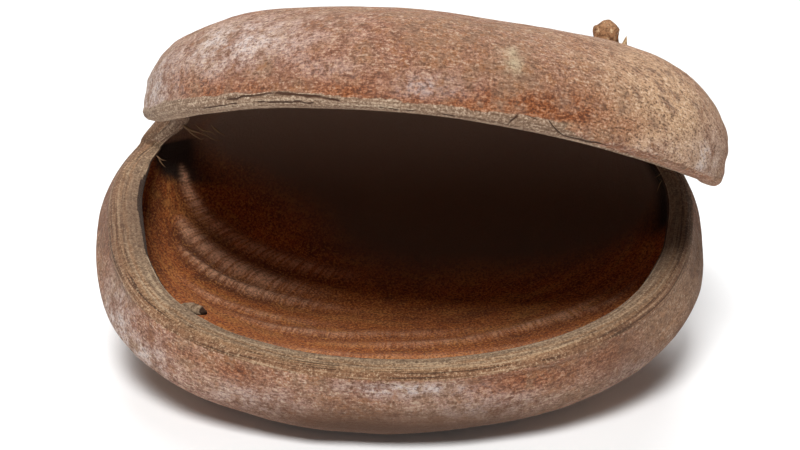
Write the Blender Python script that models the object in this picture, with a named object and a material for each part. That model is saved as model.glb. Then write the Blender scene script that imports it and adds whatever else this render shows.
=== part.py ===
"""Woody seed pod that has split open along its front seam and lies on its lower half.

The pod is one grown piece: a lower half, an upper half, and the closed back that joins them. It
starts as the closed pod, a swollen egg with a slit round its front. Both halves are then turned
open about the line through the mouth's two corners, as they do when the real pod dries. The broken
stalk stands on the back of the upper half.

Metres, +Z up. The mouth looks along -Y and the long axis is X. The origin is the middle of the flat
spot that the pod rests on.
"""

import math

import bpy
import numpy as np

# The closed pod: its full length and depth, and how far each half rises from the seam plane.
LENGTH = 0.1080
DEPTH = 0.0820
LOWER_RISE = 0.0208
UPPER_RISE = 0.0195
# The lower half is this much deeper at the back than at the mouth, so its belly hangs under the load.
BACK_SAG = 0.50
# Fullness of the outline, where 2 is an ellipse: the back is squarer than the front.
FRONT_POWER = 2.02
BACK_POWER = 2.9
LOWER_RISE_POWER = 2.3
UPPER_RISE_POWER = 2.5
# The slit's two ends, as an angle round the pod from the middle of the mouth.
CORNER_ANGLE = math.radians(129)

# How the halves have opened, about a line a little behind the mouth's corners.
LOWER_GAPE = math.radians(15.8)
UPPER_GAPE = math.radians(22.4)
HINGE_SETBACK = 0.0030
UPPER_ROLL = math.radians(6.2)
UPPER_SHIFT = 0.0055
UPPER_NARROWING = 0.895
# The upper lip is bowed: its middle stands higher than its ends.
UPPER_BOW = 0.0060
# How far round from a corner the bow takes to come in, and the roll from the right corner.
EASE_SPREAD = math.radians(45)
# How far round from a corner the two halves take to come fully free of each other.
CORNER_SPREAD = math.radians(16)
# Halves are free from the lip back to FREE_FROM, and joined again at the back's pole.
FREE_FROM = 0.35

# How far the lips are drawn in from the belly, at the corners and along each half.
CORNER_CURL = 0.0020
LOWER_CURL = 0.0062
UPPER_CURL = 0.0008
CURL_REACH = 0.17
CURL_SPREAD = math.radians(60)

# Wall, and the lip's flat cut face.
WALL = 0.0040
LIP_WALL = 0.0060
LIP_CROWN = 0.0010

# Growth ridges on the floor of the inside, which run round the mouth. RIDGE_START and RIDGE_PITCH
# are shares of the way from the lip to the back.
RIDGES = 3
RIDGE_START = 0.52
RIDGE_PITCH = 0.06
RIDGE_HEIGHT = 0.0006

# Lumps and hollows of the outside: direction from the pod's middle, reach, and height.
SWELLS = (
    ((0.75, -0.10, 0.65), 0.50, 0.0016),
    ((0.20, -0.35, 0.90), 0.28, -0.0008),
    ((-0.72, -0.62, -0.30), 0.40, 0.0008),
)

# Where the pod's middle stands over the flat spot.
MIDDLE = np.array([0.0, 0.0010, 0.0314])

# Broken stalk, a knob with a hollow in its end: where it stands on the skin, and its size.
STALK_U = math.radians(75.5)
STALK_V = 0.51
STALK_RADIUS = 0.0025
STALK_LENGTH = 0.0046
STALK_PIT = 0.0007
STALK_GAP = 0.0004

# Mesh
AROUND = 84
LENGTH_SHARE = 0.7
OUTER_RINGS = 24
LIP_STEPS = (0.15, 0.5, 0.85)
FRONT_RINGS = 7
BACK_RINGS = 4
STALK_SIDES = 16


def smooth(t):
    """Eases from 0 to 1 as t goes from 0 to 1."""
    t = np.clip(t, 0.0, 1.0)
    return t * t * (3.0 - 2.0 * t)


def slit_sphere(u, v):
    """Point on a unit sphere whose rings run round a slit: v = 0 on the slit, 1 at the back.

    In the plane that the sphere is projected on from its back, the rings are ellipses that share the
    slit's two ends. u = 0 is the right corner and pi the left one, with the upper half between.
    """
    reach = math.tan(CORNER_ANGLE / 2)
    k = np.tan(np.minimum(v, 0.9999) * math.pi / 2)
    across = np.sqrt(k * k + reach * reach) * np.cos(u)
    up = k * np.sin(u)
    m = across**2 + up**2
    return 2 * across / (1 + m), (m - 1) / (1 + m), 2 * up / (1 + m)


def from_corner(u):
    """Angle round the slit from its nearer end."""
    return CORNER_ANGLE - 2 * np.arctan(math.tan(CORNER_ANGLE / 2) * abs(np.cos(u)))


def parting(u):
    """How far the halves are free of each other: -1 is the lower half, 1 the upper one, 0 between."""
    t = np.clip(from_corner(u) / CORNER_SPREAD, 0.0, 1.0)
    return np.sign(np.sin(u)) * np.sqrt(t * (2 - t))


def swell(x, y, z):
    """Height of the lumps and hollows at a direction from the middle."""
    total = np.zeros_like(x)
    for (a, b, c), reach, height in SWELLS:
        away = ((x - a) ** 2 + (y - b) ** 2 + (z - c) ** 2) / reach**2
        total = total + height * np.exp(-away)
    return total


def closed_skin(u, v, depth, ahead):
    """Point of the closed pod, depth under its outside and ahead of its lip, as x, y and z."""
    x, y, z = slit_sphere(u, v)
    upper = np.sin(u) > 0
    sag = 1 + BACK_SAG * smooth((y + 0.55) / 1.1)
    half = np.where(upper, UPPER_RISE, LOWER_RISE * sag)
    power = np.where(upper, UPPER_RISE_POWER, LOWER_RISE_POWER)
    lump = swell(x, y, z)
    size = (LENGTH / 2, DEPTH / 2, half)

    flat = np.hypot(x, y)
    round_power = np.where(y > 0, BACK_POWER, FRONT_POWER)
    plan = (abs(x) ** round_power + abs(y) ** round_power) ** (1 / round_power)
    spread = flat / np.maximum(plan, 1e-9)
    rise = (flat**power + abs(z) ** power) ** (-1 / power)
    x, y, z = x * spread * rise, y * spread * rise, z * rise

    steep = np.maximum(abs(x) ** round_power + abs(y) ** round_power, 1e-12)
    steep = steep ** (power / round_power - 1)
    normal = np.stack([
        steep * abs(x) ** (round_power - 1) * np.sign(x) / size[0],
        steep * abs(y) ** (round_power - 1) * np.sign(y) / size[1],
        abs(z) ** (power - 1) * np.sign(z) / half,
    ])
    normal /= np.linalg.norm(normal, axis=0)
    x, y, z = np.stack([x * size[0], y * size[1], z * half]) - normal * (depth - lump)

    part = parting(u)
    curl = np.where(upper, UPPER_CURL, LOWER_CURL)
    curl = CORNER_CURL + (curl - CORNER_CURL) * smooth(from_corner(u) / CURL_SPREAD)
    curl = curl * np.exp(-((v / CURL_REACH) ** 2))
    z = z - part * abs(part) * ahead
    return x * (1 - curl / size[0]), y * (1 - curl / size[1]), z


def skin(u, v, depth=0.0, ahead=0.0):
    """Point of the opened pod where it rests, depth under its outside and ahead of its lip."""
    x, y, z = closed_skin(u, v, depth, ahead)
    part = parting(u)
    free = 1 - smooth((v - FREE_FROM) / (1 - FREE_FROM))

    lifted = free * np.maximum(part, 0.0) ** 2
    eased = smooth(from_corner(u) / EASE_SPREAD)
    x = x * (1 - lifted * (1 - UPPER_NARROWING)) + lifted * UPPER_SHIFT
    bow = UPPER_BOW * (0.5 - (x / (LENGTH / 2)) ** 2) * (1 - smooth(v / 0.6))
    z = z + lifted * eased * bow
    roll = lifted * UPPER_ROLL * np.where(np.cos(u) > 0, eased, 1.0)
    x, z = x * np.cos(roll) + z * np.sin(roll), z * np.cos(roll) - x * np.sin(roll)

    hinge = -math.cos(CORNER_ANGLE) * DEPTH / 2 + HINGE_SETBACK
    turn = free * ((UPPER_GAPE + LOWER_GAPE) * part + (UPPER_GAPE - LOWER_GAPE) * part**2) / 2
    y = y - hinge
    y, z = y * np.cos(turn) + z * np.sin(turn), z * np.cos(turn) - y * np.sin(turn)
    return np.stack([x, y + hinge, z], -1) + MIDDLE


def wall_at(u, v):
    """Wall thickness, which grows towards the lip and away from the mouth's corners."""
    rim = (LIP_WALL - WALL) * smooth(from_corner(u) / CURL_SPREAD)
    return WALL + rim * (1 - smooth(v / 0.3))


def inner_depth(u, v):
    """How far the inside lies under the outside, with the growth ridges raised from it."""
    turns = np.clip((v - RIDGE_START) / RIDGE_PITCH, 0.0, RIDGES)
    raised = RIDGE_HEIGHT * (1 - np.cos(2 * math.pi * turns)) / 2
    return wall_at(u, v) + raised * np.maximum(-np.sin(u), 0.0)


def inner_stations():
    """Where the inside's rings lie between the lip and the back, with one on each crest and dip."""
    end = RIDGE_START + RIDGES * RIDGE_PITCH
    front = np.linspace(0, RIDGE_START, FRONT_RINGS + 1)[:-1]
    ridged = np.linspace(RIDGE_START, end, 2 * RIDGES + 1)
    return np.concatenate([front, ridged, np.linspace(end, 1, BACK_RINGS + 2)[1:-1]])


def ring_angles():
    """Angles round the mouth, part by distance along the lip and part evenly, so corners get more."""
    fine = np.linspace(0, 2 * math.pi, 1441)
    track = np.stack(slit_sphere(fine, np.full_like(fine, 0.1)), -1)
    run = np.concatenate([[0], np.cumsum(np.linalg.norm(np.diff(track, axis=0), axis=1))])
    share = LENGTH_SHARE * run / run[-1] + (1 - LENGTH_SHARE) * fine / fine[-1]
    return np.interp(np.arange(AROUND) / AROUND, share, fine)


def pod_rings():
    """The pod's rings, from the outside's pole at the back, over the lip, to the inside's pole."""
    u = ring_angles()
    found = [skin(u, np.full_like(u, v)) for v in np.linspace(1, 0, OUTER_RINGS + 1)[1:]]
    for share in LIP_STEPS:
        crown = LIP_CROWN * (1 - abs(2 * share - 1) ** 3)
        found.append(skin(u, np.zeros_like(u), share * wall_at(u, 0.0), crown))
    for v in inner_stations():
        found.append(skin(u, np.full_like(u, v), inner_depth(u, v)))
    return found


def closed_mesh(name, first, found, last):
    """Mesh of rings that all have the same number of points, closed by a point at each end."""
    count = len(found[0])
    points = [first, *[p for ring in found for p in ring], last]
    faces = []
    for i in range(count):
        j = (i + 1) % count
        faces.append((0, 1 + j, 1 + i))
        for r in range(len(found) - 1):
            a, b = 1 + r * count, 1 + (r + 1) * count
            faces.append((a + i, a + j, b + j, b + i))
        base = 1 + (len(found) - 1) * count
        faces.append((base + i, base + j, len(points) - 1))
    mesh = bpy.data.meshes.new(name)
    mesh.from_pydata([tuple(float(c) for c in p) for p in points], [], faces)
    mesh.shade_smooth()
    mesh.update()
    return mesh


def add_object(name, mesh, colour, roughness):
    """Puts a mesh in the scene as a named object with a material of its own."""
    material = bpy.data.materials.new(name)
    material.use_nodes = True
    shader = material.node_tree.nodes["Principled BSDF"]
    shader.inputs["Base Color"].default_value = (*colour, 1.0)
    shader.inputs["Roughness"].default_value = roughness
    mesh.materials.append(material)
    obj = bpy.data.objects.new(name, mesh)
    bpy.context.scene.collection.objects.link(obj)


def make_pod():
    """The pod's one solid, with its belly cut flat where it rests."""
    pole_u, pole_v = np.array([math.pi / 2]), np.array([1.0])
    found = pod_rings()
    for ring in found:
        ring[:, 2] = np.maximum(ring[:, 2], 0)
    outer_pole = skin(pole_u, pole_v)[0]
    inner_pole = skin(pole_u, pole_v, WALL)[0]
    mesh = closed_mesh("pod", outer_pole, found, inner_pole)
    add_object("pod", mesh, (0.20, 0.095, 0.055), 0.8)


def skin_frame(u, v):
    """A point of the skin, with the direction along the lip, the one across it, and out."""
    at = skin(np.array([u]), np.array([v]))[0]
    along = skin(np.array([u + 0.01]), np.array([v]))[0] - at
    across = skin(np.array([u]), np.array([v + 0.005]))[0] - at
    along /= np.linalg.norm(along)
    out = np.cross(across, along)
    out /= np.linalg.norm(out)
    return at, along, np.cross(out, along), out


def make_stalk():
    """The broken stalk, standing square on the skin."""
    at, along, across, out = skin_frame(STALK_U, STALK_V)
    # Radius and height of each ring, as shares of the stalk's own, from its foot to its rim.
    profile = ((1.15, 0.0), (0.95, 0.2), (0.88, 0.45), (1.0, 0.7), (0.96, 0.88), (0.72, 1.0))
    turn = 2 * math.pi * np.arange(STALK_SIDES) / STALK_SIDES
    lump = 1 + 0.06 * np.sin(3 * turn)
    found = []
    for wide, high in profile:
        reach = STALK_RADIUS * wide * lump
        spoke = np.outer(reach * np.cos(turn), along) + np.outer(reach * np.sin(turn), across)
        found.append(at + spoke + out * (STALK_GAP + STALK_LENGTH * high))
    foot = at + out * STALK_GAP
    pit = at + out * (STALK_GAP + STALK_LENGTH - STALK_PIT)
    mesh = closed_mesh("stalk_stub", foot, found, pit)
    add_object("stalk_stub", mesh, (0.42, 0.29, 0.17), 0.85)


def main():
    for obj in list(bpy.data.objects):
        bpy.data.objects.remove(obj)
    make_pod()
    make_stalk()


main()
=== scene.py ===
"""Dresses the dried seed pod: its velvety skin, layered lips, combed lining, broken stalk and frayed
fibres, on a pale floor under soft studio light."""

import logging
import math
from dataclasses import dataclass, field
from enum import Enum, IntEnum

import bpy
import numpy as np
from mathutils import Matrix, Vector


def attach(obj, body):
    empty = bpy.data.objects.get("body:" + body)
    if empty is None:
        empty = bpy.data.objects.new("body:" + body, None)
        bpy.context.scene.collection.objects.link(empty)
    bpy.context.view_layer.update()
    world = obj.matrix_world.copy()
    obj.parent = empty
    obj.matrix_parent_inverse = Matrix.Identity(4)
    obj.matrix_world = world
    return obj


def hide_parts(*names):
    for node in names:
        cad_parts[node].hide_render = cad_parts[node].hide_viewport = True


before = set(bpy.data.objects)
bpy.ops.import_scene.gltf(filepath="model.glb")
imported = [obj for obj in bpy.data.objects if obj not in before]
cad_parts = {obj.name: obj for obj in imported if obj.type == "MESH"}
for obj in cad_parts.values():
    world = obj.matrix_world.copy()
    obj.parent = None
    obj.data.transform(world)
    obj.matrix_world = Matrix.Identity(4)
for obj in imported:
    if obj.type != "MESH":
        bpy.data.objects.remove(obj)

LOG = logging.getLogger("seed_pod")
Colour = tuple[float, float, float]
Point = tuple[float, float, float]
Table = tuple[tuple[float, float], ...]
Span = tuple[float, float]
Socket = bpy.types.NodeSocket

MM = 1000.0  # millimetres in a metre
TURN = 2 * math.pi
TINY = 1e-12  # keeps a division from failing where a length is nothing
CELL_PRIMES = (73856093, 19349663, 83492791)
SEED_STEP = 2654435
MIX_PRIME = 1274126177
LOW_BITS = 0x7FFFFFFF
LAYER_SHIFT = 17.3  # how far each finer layer of a pattern is moved
LAYER_FADE = 1.8  # how much weaker it is than the one before


def smooth(t: np.ndarray | float) -> np.ndarray:
    """Eases from 0 to 1 as t goes from 0 to 1."""
    t = np.clip(t, 0.0, 1.0)
    return t * t * (3.0 - 2.0 * t)


def shade(red: int, green: int, blue: int) -> Colour:
    """The linear colour of a screen colour whose parts go from 0 to 255."""
    parts = [c / 255 for c in (red, green, blue)]
    r, g, b = [c / 12.92 if c < 0.04045 else ((c + 0.055) / 1.055) ** 2.4 for c in parts]
    return r, g, b


def read_table(table: Table, at: np.ndarray) -> np.ndarray:
    """Values read off a short table of places and values, with straight lines between them."""
    places, values = zip(*table)
    return np.interp(at, places, values)


def cell_values(cell: np.ndarray, seed: int) -> np.ndarray:
    """Gives every cell of a lattice its own steady value.

    Args:
        cell: Whole-number cell positions, one row of three each.
        seed: Chooses one pattern among many.

    Returns:
        A value from -1 to 1 for each row.
    """
    x, y, z = (cell[:, i] * prime for i, prime in enumerate(CELL_PRIMES))
    mixed = (x ^ y ^ z ^ (seed * SEED_STEP)) & LOW_BITS
    mixed = ((mixed ^ (mixed >> 13)) * MIX_PRIME) & LOW_BITS
    mixed = mixed ^ (mixed >> 16)
    return mixed / (LOW_BITS / 2) - 1.0


def rumple(points: np.ndarray, cell: Point, seed: int, layers: int = 1) -> np.ndarray:
    """Smooth random relief over space.

    Args:
        points: Positions in millimetres, one row each.
        cell: Size of one lump along each axis, in millimetres.
        seed: Chooses one pattern among many.
        layers: How many ever finer patterns are laid on each other.

    Returns:
        A height for each position, mostly from -1 to 1.
    """
    total = np.zeros(len(points))
    for layer in range(layers):
        place = points / np.array(cell) * 2.0**layer + LAYER_SHIFT * (layer + 1)
        low = np.floor(place).astype(np.int64)
        ease = smooth(place - low)
        for corner in range(8):
            step = np.array([corner & 1, corner >> 1 & 1, corner >> 2])
            weight = np.prod(np.where(step == 1, ease, 1 - ease), axis=1)
            total += weight * cell_values(low + step, seed + layer) / LAYER_FADE**layer
    return total


@dataclass
class PodForm:
    """The pod's shape: a closed egg slit round its front, whose halves are turned open."""

    length: float = 0.1080
    depth: float = 0.0820
    lower_rise: float = 0.0208
    upper_rise: float = 0.0195
    back_sag: float = 0.50
    front_power: float = 2.02
    back_power: float = 2.9
    lower_rise_power: float = 2.3
    upper_rise_power: float = 2.5
    corner_angle: float = math.radians(129)
    lower_gape: float = math.radians(15.8)
    upper_gape: float = math.radians(22.4)
    hinge_setback: float = 0.0030
    upper_roll: float = math.radians(6.2)
    upper_shift: float = 0.0055
    upper_narrowing: float = 0.895
    upper_bow: float = 0.0060
    ease_spread: float = math.radians(45)
    corner_spread: float = math.radians(16)
    free_from: float = 0.35
    corner_curl: float = 0.0020
    lower_curl: float = 0.0062
    upper_curl: float = 0.0008
    curl_reach: float = 0.17
    curl_spread: float = math.radians(60)
    wall: float = 0.0040
    lip_wall: float = 0.0060
    lip_crown: float = 0.0010
    length_share: float = 0.7
    middle: Point = (0.0, 0.0010, 0.0314)
    swells: tuple[tuple[Point, float, float], ...] = (
        ((0.75, -0.10, 0.65), 0.50, 0.0016),
        ((0.20, -0.35, 0.90), 0.28, -0.0008),
        ((-0.72, -0.62, -0.30), 0.40, 0.0008),
    )

    def slit_sphere(self, u: np.ndarray, v: np.ndarray) -> tuple[np.ndarray, np.ndarray, np.ndarray]:
        """Point on a unit sphere whose rings run round a slit.

        Args:
            u: Angle round the mouth. 0 is its right corner, and the upper half is from 0 to pi.
            v: Share of the way from the slit to the back.

        Returns:
            The point's x, y and z.
        """
        reach = math.tan(self.corner_angle / 2)
        k = np.tan(np.minimum(v, 0.9999) * math.pi / 2)
        across = np.sqrt(k * k + reach * reach) * np.cos(u)
        up = k * np.sin(u)
        m = across**2 + up**2
        return 2 * across / (1 + m), (m - 1) / (1 + m), 2 * up / (1 + m)

    def ring_angles(self, count: int) -> np.ndarray:
        """Angles of the points of a ring, part by distance along the lip and part evenly."""
        fine = np.linspace(0, TURN, 2881)
        track = np.stack(self.slit_sphere(fine, np.full_like(fine, 0.1)), -1)
        run = np.concatenate([[0], np.cumsum(np.linalg.norm(np.diff(track, axis=0), axis=1))])
        share = self.length_share * run / run[-1] + (1 - self.length_share) * fine / fine[-1]
        return np.interp(np.arange(count) / count, share, fine)

    def from_corner(self, u: np.ndarray) -> np.ndarray:
        """Angle round the slit from its nearer end."""
        return self.corner_angle - 2 * np.arctan(math.tan(self.corner_angle / 2) * abs(np.cos(u)))

    def parting(self, u: np.ndarray) -> np.ndarray:
        """How far the halves are free: -1 is the lower half, 1 the upper one, 0 between."""
        t = np.clip(self.from_corner(u) / self.corner_spread, 0.0, 1.0)
        return np.sign(np.sin(u)) * np.sqrt(t * (2 - t))

    def wall_at(self, u: np.ndarray, v: np.ndarray) -> np.ndarray:
        """Wall thickness, which grows towards the lip and away from the mouth's corners."""
        rim = (self.lip_wall - self.wall) * smooth(self.from_corner(u) / self.curl_spread)
        return self.wall + rim * (1 - smooth(v / 0.3))

    def closed(self, u: np.ndarray, v: np.ndarray, depth: np.ndarray, ahead: np.ndarray) -> np.ndarray:
        """Point of the closed pod.

        Args:
            u: Angle round the mouth.
            v: Share of the way from the lip to the back.
            depth: How far the point lies under the outside.
            ahead: How far it stands out from the lip's cut face.

        Returns:
            The points, as three rows x, y and z.
        """
        x, y, z = self.slit_sphere(u, v)
        upper = np.sin(u) > 0
        sag = 1 + self.back_sag * smooth((y + 0.55) / 1.1)
        half = np.where(upper, self.upper_rise, self.lower_rise * sag)
        power = np.where(upper, self.upper_rise_power, self.lower_rise_power)
        lump = np.zeros_like(x)
        for (a, b, c), reach, height in self.swells:
            lump = lump + height * np.exp(-((x - a) ** 2 + (y - b) ** 2 + (z - c) ** 2) / reach**2)
        size = (self.length / 2, self.depth / 2, half)

        flat = np.hypot(x, y)
        round_power = np.where(y > 0, self.back_power, self.front_power)
        plan = (abs(x) ** round_power + abs(y) ** round_power) ** (1 / round_power)
        spread = flat / np.maximum(plan, 1e-9)
        rise = (flat**power + abs(z) ** power) ** (-1 / power)
        x, y, z = x * spread * rise, y * spread * rise, z * rise

        steep = np.maximum(abs(x) ** round_power + abs(y) ** round_power, TINY)
        steep = steep ** (power / round_power - 1)
        normal = np.stack([
            steep * abs(x) ** (round_power - 1) * np.sign(x) / size[0],
            steep * abs(y) ** (round_power - 1) * np.sign(y) / size[1],
            abs(z) ** (power - 1) * np.sign(z) / half,
        ])
        normal /= np.linalg.norm(normal, axis=0)
        x, y, z = np.stack([x * size[0], y * size[1], z * half]) - normal * (depth - lump)

        part = self.parting(u)
        curl = np.where(upper, self.upper_curl, self.lower_curl)
        curl = self.corner_curl + (curl - self.corner_curl) * smooth(self.from_corner(u) / self.curl_spread)
        curl = curl * np.exp(-((v / self.curl_reach) ** 2))
        z = z - part * abs(part) * ahead
        return np.stack([x * (1 - curl / size[0]), y * (1 - curl / size[1]), z])

    def surface(self, u: np.ndarray, v: np.ndarray, depth: np.ndarray, ahead: np.ndarray) -> np.ndarray:
        """Point of the opened pod where it rests. It takes the same values as closed.

        Returns:
            The points, one row each.
        """
        x, y, z = self.closed(u, v, depth, ahead)
        part = self.parting(u)
        free = 1 - smooth((v - self.free_from) / (1 - self.free_from))
        lifted = free * np.maximum(part, 0.0) ** 2
        eased = smooth(self.from_corner(u) / self.ease_spread)
        x = x * (1 - lifted * (1 - self.upper_narrowing)) + lifted * self.upper_shift
        bow = self.upper_bow * (0.5 - (x / (self.length / 2)) ** 2) * (1 - smooth(v / 0.6))
        z = z + lifted * eased * bow
        roll = lifted * self.upper_roll * np.where(np.cos(u) > 0, eased, 1.0)
        x, z = x * np.cos(roll) + z * np.sin(roll), z * np.cos(roll) - x * np.sin(roll)

        hinge = -math.cos(self.corner_angle) * self.depth / 2 + self.hinge_setback
        both, apart = self.upper_gape + self.lower_gape, self.upper_gape - self.lower_gape
        turn = free * (both * part + apart * part**2) / 2
        y = y - hinge
        y, z = y * np.cos(turn) + z * np.sin(turn), z * np.cos(turn) - y * np.sin(turn)
        return np.stack([x, y + hinge, z], -1) + np.array(self.middle)

    def point(self, u: float, v: float, depth: float = 0.0) -> Vector:
        """One point of the opened pod, with u in degrees."""
        one = self.surface(np.array([math.radians(u)]), np.array([v]), np.array([depth]), np.array([0.0]))
        return Vector(one[0])


@dataclass(frozen=True)
class Stain:
    """A soft patch of a colour on the pod, by its place and reach in millimetres."""

    at: Point
    reach: Point
    strength: float

    def cover(self, points: np.ndarray) -> np.ndarray:
        """How strongly the patch covers each point, given in millimetres."""
        away = ((points - np.array(self.at)) / np.array(self.reach)) ** 2
        return self.strength * np.exp(-away.sum(axis=1))


@dataclass(frozen=True)
class Crack:
    """A thin dark split in the skin.

    Its two ends are each given by their place along X and their distance up the skin from the lip,
    in millimetres, as its width is.
    """

    start: tuple[float, float]
    end: tuple[float, float]
    width: float

    def draw(self, board: "NodeBoard", place: Socket) -> Socket:
        """How deep in the crack a point lies.

        Args:
            board: The material's nodes.
            place: The point's place along X and up the skin, in metres.

        Returns:
            A value from 0 to 1.
        """
        start = Vector((*self.start, 0.0)) / MM
        run = Vector((*self.end, 0.0)) / MM - start
        off = board.vector("SUBTRACT", place, start)
        share = board.vector("DOT_PRODUCT", off, run / run.length_squared)
        share = board.sum("MINIMUM", board.sum("MAXIMUM", share, 0.0), 1.0)
        away = board.vector("LENGTH", board.vector("SUBTRACT", off, board.vector("SCALE", run, share)))
        return board.step(away, self.width / MM, self.width / MM / 3)


@dataclass(frozen=True)
class Fade:
    """A soft change along some measure: where it starts and how long it goes on."""

    start: float
    length: float

    def rise(self, value: np.ndarray) -> np.ndarray:
        """Goes from 0 before the start to 1 past the end."""
        return smooth((value - self.start) / self.length)

    def fall(self, value: np.ndarray) -> np.ndarray:
        """Goes from 1 before the start to 0 past the end."""
        return 1 - self.rise(value)


@dataclass(frozen=True)
class Relief:
    """One layer of smooth random relief: its height and the size of its lumps in millimetres."""

    height: float
    cell: Point
    seed: int

    def over(self, points: np.ndarray) -> np.ndarray:
        """The layer's height at each point."""
        return self.height * rumple(points, self.cell, self.seed)


class Zone(IntEnum):
    """The parts of the shell, from the outside in."""

    SKIN = 0
    LIP = 1
    LINING = 2


@dataclass
class ShellPoints:
    """The shell's points, one row each, and what says where each lies.

    place is in millimetres, and grain holds its coordinates along and across the lip. u and v are the
    form's own, share goes from 0 outside to 1 inside, and across is the distance up the skin from the
    lip in millimetres.
    """

    place: np.ndarray
    grain: np.ndarray
    zone: np.ndarray
    u: np.ndarray
    v: np.ndarray
    share: np.ndarray
    across: np.ndarray

    @property
    def degrees(self) -> np.ndarray:
        """Each point's u in degrees."""
        return np.degrees(self.u)


@dataclass(frozen=True)
class Ridge:
    """A raised line of the lining: where it runs, as u in degrees against v, its height and width."""

    track: Table
    height: float
    width: float

    def cover(self, u: np.ndarray, v: np.ndarray) -> np.ndarray:
        """How near the crest each point lies, from 0 to 1."""
        first, last = self.track[0][0], self.track[-1][0]
        ends = smooth((u - first) / 9.0) * smooth((last - u) / 14.0)
        return ends * np.exp(-(((v - read_table(self.track, u)) / self.width) ** 2))


@dataclass
class NodeBoard:
    """A new material's node tree, with short ways to add and join its nodes."""

    name: str
    material: bpy.types.Material = field(init=False)
    tree: bpy.types.NodeTree = field(init=False)
    shader: bpy.types.Node = field(init=False)

    def __post_init__(self) -> None:
        """Makes the material and finds its shader."""
        self.material = bpy.data.materials.new(self.name)
        self.material.use_nodes = True
        self.tree = self.material.node_tree
        self.shader = self.tree.nodes["Principled BSDF"]

    def put(self, value: Socket | float | tuple, target: Socket) -> None:
        """Joins a socket to another, or sets a constant on it."""
        if isinstance(value, bpy.types.NodeSocket):
            self.tree.links.new(value, target)
        elif isinstance(value, tuple) and target.type == "RGBA":
            target.default_value = (*value, 1.0)
        else:
            target.default_value = value

    def attribute(self, name: str, vector: bool = False) -> Socket:
        """A value, or a vector, that the mesh carries at its points."""
        node = self.tree.nodes.new("ShaderNodeAttribute")
        node.attribute_name = name
        return node.outputs["Vector" if vector else "Fac"]

    def place(self, scale: Point = (1.0, 1.0, 1.0)) -> Socket:
        """Object coordinates, stretched along each axis."""
        return self.stretch(self.tree.nodes.new("ShaderNodeTexCoord").outputs["Object"], scale)

    def stretch(self, vector: Socket, scale: Point) -> Socket:
        """A vector multiplied along each axis."""
        node = self.tree.nodes.new("ShaderNodeMapping")
        self.put(vector, node.inputs["Vector"])
        node.inputs["Scale"].default_value = scale
        return node.outputs["Vector"]

    def noise(self, vector: Socket, scale: float, detail: float = 2.0, roughness: float = 0.5) -> Socket:
        """Cloudy noise from 0 to 1.

        Args:
            vector: Where it is read, in metres.
            scale: Clouds in a metre.
            detail: How many finer layers it has.
            roughness: How strong they are.

        Returns:
            The noise's value.
        """
        node = self.tree.nodes.new("ShaderNodeTexNoise")
        self.put(vector, node.inputs["Vector"])
        for name, value in (("Scale", scale), ("Detail", detail), ("Roughness", roughness)):
            node.inputs[name].default_value = value
        return node.outputs["Fac"]

    def streaks(self, grain: Socket, scale: Point, detail: float, roughness: float) -> Socket:
        """Cloudy noise that is stretched along each axis of a vector."""
        return self.noise(self.stretch(grain, scale), 1.0, detail, roughness)

    def vector(self, how: str, a: Socket | Vector, b: Socket | Vector | None = None) -> Socket:
        """Vector arithmetic, by the name of the sum in capitals; SCALE takes a value as b."""
        node = self.tree.nodes.new("ShaderNodeVectorMath")
        node.operation = how
        self.put(a, node.inputs[0])
        if b is not None:
            self.put(b, node.inputs["Scale" if how == "SCALE" else 1])
        return node.outputs["Value" if how in ("LENGTH", "DOT_PRODUCT") else "Vector"]

    def colour_noise(self, vector: Socket, scale: float) -> Socket:
        """Cloudy noise with three parts of its own, as a colour."""
        self.noise(vector, scale, 1.0)
        return self.tree.nodes[-1].outputs["Color"]

    def sum(self, how: str, a: Socket | float, b: Socket | float) -> Socket:
        """Two values put together, by the name of the sum in capitals."""
        node = self.tree.nodes.new("ShaderNodeMath")
        node.operation = how
        self.put(a, node.inputs[0])
        self.put(b, node.inputs[1])
        return node.outputs[0]

    def times(self, a: Socket | float, b: Socket | float) -> Socket:
        """One value times another."""
        return self.sum("MULTIPLY", a, b)

    def plus(self, a: Socket | float, b: Socket | float) -> Socket:
        """One value and another together."""
        return self.sum("ADD", a, b)

    def minus(self, a: Socket | float, b: Socket | float) -> Socket:
        """One value less another."""
        return self.sum("SUBTRACT", a, b)

    def blend(self, share: Socket | float, a: Socket | float, b: Socket | float) -> Socket:
        """One value going over into another as the share goes from 0 to 1."""
        node = self.tree.nodes.new("ShaderNodeMix")
        self.put(share, node.inputs["Factor"])
        self.put(a, node.inputs[2])
        self.put(b, node.inputs[3])
        return node.outputs[0]

    def step(self, value: Socket, low: float, high: float) -> Socket:
        """A soft step: 0 where the value is under low, 1 where it is over high."""
        node = self.tree.nodes.new("ShaderNodeMapRange")
        node.interpolation_type = "SMOOTHSTEP"
        self.put(value, node.inputs["Value"])
        node.inputs["From Min"].default_value = low
        node.inputs["From Max"].default_value = high
        return node.outputs["Result"]

    def mix(self, share: Socket | float, a: Socket | Colour, b: Socket | Colour) -> Socket:
        """One colour going over into another as the share goes from 0 to 1."""
        node = self.tree.nodes.new("ShaderNodeMix")
        node.data_type = "RGBA"
        self.put(share, node.inputs["Factor"])
        self.put(a, [s for s in node.inputs if s.name == "A" and s.type == "RGBA"][0])
        self.put(b, [s for s in node.inputs if s.name == "B" and s.type == "RGBA"][0])
        return [s for s in node.outputs if s.type == "RGBA"][0]

    def tint(self, under: Socket | Colour, over: Colour, value: Socket, edge: Span,
             share: Socket | float) -> Socket:
        """Lays a colour over another where a value passes a soft edge.

        Args:
            under: The colour below.
            over: The colour that is laid on it.
            value: What says where it lies.
            edge: Where it begins to show, and where it shows in full.
            share: How strongly it shows there.

        Returns:
            The two colours together.
        """
        return self.mix(self.times(self.step(value, *edge), share), under, over)

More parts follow.
